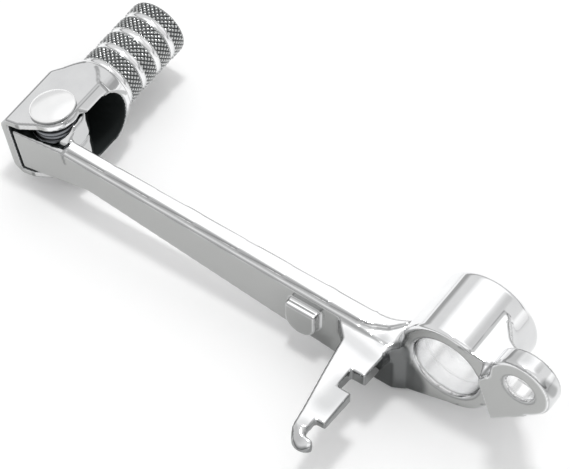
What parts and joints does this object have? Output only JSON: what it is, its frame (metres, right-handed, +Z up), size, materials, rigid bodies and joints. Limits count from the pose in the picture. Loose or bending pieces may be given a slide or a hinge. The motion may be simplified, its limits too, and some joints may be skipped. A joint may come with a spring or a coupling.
{
  "type": "rear brake pedal",
  "caption": "Polished rear brake pedal with a round pivot hub, thin arm, notched hook plate, push-rod ear and a folding toe piece whose peg is knurled in bands.",
  "frame": {"origin": "middle of the pivot bore, on its axis", "axes": "+Y along the pivot bore, away from the hub's near face; -X along the arm to the toe piece; +Z up"},
  "size_m": [0.1826, 0.097, 0.0466],
  "materials": {
    "polished_casting": "bright plated over polished forged steel",
    "polished_toe": "bright plated, knurled bands on the peg",
    "bright_rivet": "polished, low domed head",
    "spring_wire": "dark drawn spring wire"
  },
  "bodies": {
    "pedal": {"pedal_hub": "polished_casting", "pedal_arm": "polished_casting", "hook_plate": "polished_casting", "return_spring": "spring_wire"},
    "toe": {"toe_piece": "polished_toe", "pivot_rivet": "bright_rivet"}
  },
  "joints": [
    {"name": "toe_fold", "type": "hinge", "parent": "pedal", "child": "toe", "pos_m": [-0.133, -0.00445, -0.0037], "axis": [0.2504, 0, -0.9681], "range_deg": [0, 66], "stiffness_Nm_per_rad": 0.35, "springref_deg": -34.38, "deforming": ["return_spring"]}
  ]
}
